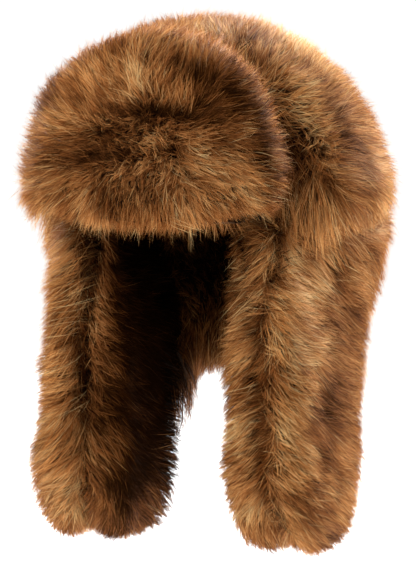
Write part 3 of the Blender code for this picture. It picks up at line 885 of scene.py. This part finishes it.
def flap_proud(points, normals):
    """Hairs hang longer from the neck flap beside the wearer's right flap, and from that flap's back edge.

    They also stand out further at that flap's side low down, and inside the other flap's lower half.
    """
    right = ramp(-points[:, 0], 0.0, 0.01)
    hem = ramp(-normals[:, 2], 0.1, 0.5)
    curve = hem * ramp(points[:, 1], -0.03, 0.02)
    outward = outward_of(points, normals)
    side = ramp(RIM_Z - 0.13 - points[:, 2], 0.0, 0.06) * ramp(outward, 0.0, 0.5)
    inner = ramp(RIM_Z - 0.165 - points[:, 2], 0.0, 0.03) * ramp(-outward, 0.0, 0.5)
    rim = ramp(points[:, 2] - RIM_Z, -0.012, -0.002)
    grown = 0.001 + 0.001 * hem + 0.010 * groove_of(points) * (1 - hem) + 0.004 * rim
    behind = ramp((normals * flap_back(points)).sum(axis=1), 0.2, 0.7) * (1 - hem)
    over_neck = ramp(points[:, 2] - RIM_Z, -0.20, -0.17)
    slope = 0.009 + (0.020 * ramp(-points[:, 0], 0.020, 0.041) - 0.006) * over_neck
    grown += right * (slope * curve + 0.008 * side * (1 - hem) + 0.006 * behind)
    return grown + (1 - right) * 0.005 * inner * (1 - hem)


def even_root_share(points):
    """The same share everywhere."""
    return np.full(len(points), ROOT_SHARE)


def neck_comb(points, normals):
    """Straight down."""
    return np.tile(DOWN, (len(points), 1))


def ear_left_tone(points, normals):
    """A little darker low down."""
    facing = facing_of(normals)
    low = ramp(RIM_Z - 0.12 - points[:, 2], 0.0, 0.08)
    base = 0.55 - 0.06 * low + mottle(points, 0.26) + parting_shade_and_tone(points)
    return base + patched_tone_and_light(points, facing, EAR_LEFT_TONE_AND_LIGHT_PATCHES)


def ear_right_tone(points, normals):
    """Even, apart from the mottling, the parting and the patches."""
    facing = facing_of(normals)
    return 0.50 + mottle(points, 0.18) + parting_shade_and_tone(points) + patched_tone_and_light(points, facing, EAR_RIGHT_TONE_AND_LIGHT_PATCHES)


def inner_left_tone_and_shade(points, normals):
    """Brown near the front edge and dark further in: partly the lining's own tone and partly painted shade,
    where the hat's hollow keeps the light out.
    """
    deep = ramp(points[:, 1], -0.10, -0.03)
    return ear_left_tone(points, normals) - 0.04 - 0.12 * deep


def inner_right_tone_and_shade(points, normals):
    """Much darker further in, but less so at the hem: painted shade where the hat's hollow keeps the light out,
    lifted where light reaches the hem, with the lining's own darker tone.
    """
    deep = ramp(points[:, 1], -0.100, -0.072)
    hem = ramp(RIM_Z - 0.186 - points[:, 2], 0.0, 0.03)
    return ear_right_tone(points, normals) - 0.56 * deep * (1 - 0.60 * hem)


def neck_tone(points, normals):
    """Brown and mottled."""
    return 0.46 + mottle(points, 0.2)


def neck_inner_tone_and_shade(points, normals):
    """Dark, and lighter at the hem: partly the lining's own dark tone and partly painted shade inside the
    hollow, lifted at the hem where light reaches.
    """
    hem = ramp(RIM_Z - 0.075 - points[:, 2], 0.0, 0.04)
    return 0.20 + mottle(points, 0.14) + 0.16 * hem


fur_material = make_fur_material()
undercoat_material = make_undercoat_material()
leather_material = make_leather_material()
cloth_material = make_cloth_material()

FURS = (
    # node, slot, backing, triangles, and below: grows, comb, tone, proud, root share
    Fur(
        "crown_fur", "crown_fur", "crown_band", 190000,
        crown_grows, crown_comb, crown_tone, crown_proud, crown_root_share,
    ),
    Fur(
        "visor_fur", "visor_fur", "visor_board", 180000,
        visor_grows, visor_comb, visor_tone, visor_proud, even_root_share, wisps=1.0,
    ),
    Fur(
        "ear_fur_left", "flap_fur", "ear_flap_left", 120000,
        outer_grows, flap_comb, ear_left_tone, flap_proud, even_root_share,
    ),
    Fur(
        "ear_fur_right", "flap_fur", "ear_flap_right", 105000,
        outer_grows, flap_comb, ear_right_tone, flap_proud, even_root_share,
    ),
    Fur(
        "ear_lining_left", "lining_fur", "ear_flap_left", 105000,
        inner_grows, flap_comb, inner_left_tone_and_shade, flap_proud, even_root_share,
    ),
    Fur(
        "ear_lining_right", "lining_fur", "ear_flap_right", 120000,
        inner_grows, flap_comb, inner_right_tone_and_shade, flap_proud, even_root_share,
    ),
    Fur(
        "neck_fur", "flap_fur", "neck_flap", 90000,
        outer_grows, neck_comb, neck_tone, flap_proud, even_root_share,
    ),
    Fur(
        "neck_lining", "lining_fur", "neck_flap", 60000,
        inner_grows, neck_comb, neck_inner_tone_and_shade, flap_proud, even_root_share,
    ),
)
for number, fur in enumerate(FURS):
    build(fur, 100 + number)


def dress(node, material):
    """Gives a node that stays its material."""
    slots = nodes[node].material_slots
    for slot in slots:
        slot.material = material
    if not slots:
        nodes[node].data.materials.append(material)


for node in ("visor_board", "ear_flap_left", "ear_flap_right", "neck_flap"):
    dress(node, leather_material)
for node in ("crown_band", "crown_top"):
    dress(node, cloth_material)


# The studio

FLOOR_Z = -0.62
FLOOR_LIGHT = 0.55
LIGHTS = (
    # name, place, size, power
    ("key", (-0.5, -1.3, 1.2), 0.7, 24),
    ("left_rim", (-1.2, 1.0, 0.4), 0.8, 34),
    ("right_rim", (1.3, 1.1, 0.4), 0.8, 34),
    ("top_rim", (0.1, 1.0, 1.2), 0.8, 48),
)
WORLD_LIGHT = 0.55
WORLD_SEEN = 1.0


def make_floor():
    """A white floor far below, which fills the lower part of the picture."""
    bpy.ops.mesh.primitive_plane_add(size=300, location=(0, 0, FLOOR_Z))
    floor = bpy.context.object
    floor.name = "floor"
    material, _, shader = new_material("floor")
    shader.inputs["Base Color"].default_value = (0.92, 0.92, 0.92, 1)
    shader.inputs["Roughness"].default_value = 0.9
    shader.inputs["Emission Color"].default_value = (1, 1, 1, 1)
    shader.inputs["Emission Strength"].default_value = FLOOR_LIGHT
    floor.data.materials.append(material)


def make_world():
    """A white world that is brighter to the camera than to the hat."""
    world = bpy.data.worlds.new("studio")
    world.use_nodes = True
    tree = world.node_tree
    sky = tree.nodes["Background"]
    sky.inputs["Color"].default_value = (1, 1, 1, 1)
    seen = add(tree, "ShaderNodeLightPath")
    strength = add(tree, "ShaderNodeMapRange")
    strength.inputs["To Min"].default_value = WORLD_LIGHT
    strength.inputs["To Max"].default_value = WORLD_SEEN
    tree.links.new(seen.outputs["Is Camera Ray"], strength.inputs["Value"])
    tree.links.new(strength.outputs["Result"], sky.inputs["Strength"])
    bpy.context.scene.world = world


def add_light(name, place, size, power):
    """A square light that looks at the rim's centre."""
    data = bpy.data.lights.new(name, "AREA")
    data.size = size
    data.energy = power
    light = bpy.data.objects.new(name, data)
    light.location = place
    light.rotation_mode = "QUATERNION"
    light.rotation_quaternion = (Vector(place) - Vector((0, 0, RIM_Z))).to_track_quat("Z", "Y")
    bpy.context.scene.collection.objects.link(light)


def make_camera():
    """The camera, whose frame is the photograph's."""
    data = bpy.data.cameras.new("camera")
    data.sensor_width = SENSOR
    data.lens = CAMERA_DISTANCE / PIXEL * SENSOR / FRAME_HEIGHT
    camera = bpy.data.objects.new("camera", data)
    bpy.context.scene.collection.objects.link(camera)
    axes = Matrix([RIGHTWARDS, UPWARDS, -AHEAD]).transposed()
    camera.matrix_world = Matrix.Translation(Vector(CAMERA_PLACE)) @ axes.to_4x4()
    bpy.context.scene.camera = camera


make_floor()
make_world()
for light in LIGHTS:
    add_light(*light)
make_camera()

view = bpy.context.scene.view_settings
view.view_transform = "Standard"
view.look = "None"
view.exposure = 0.0
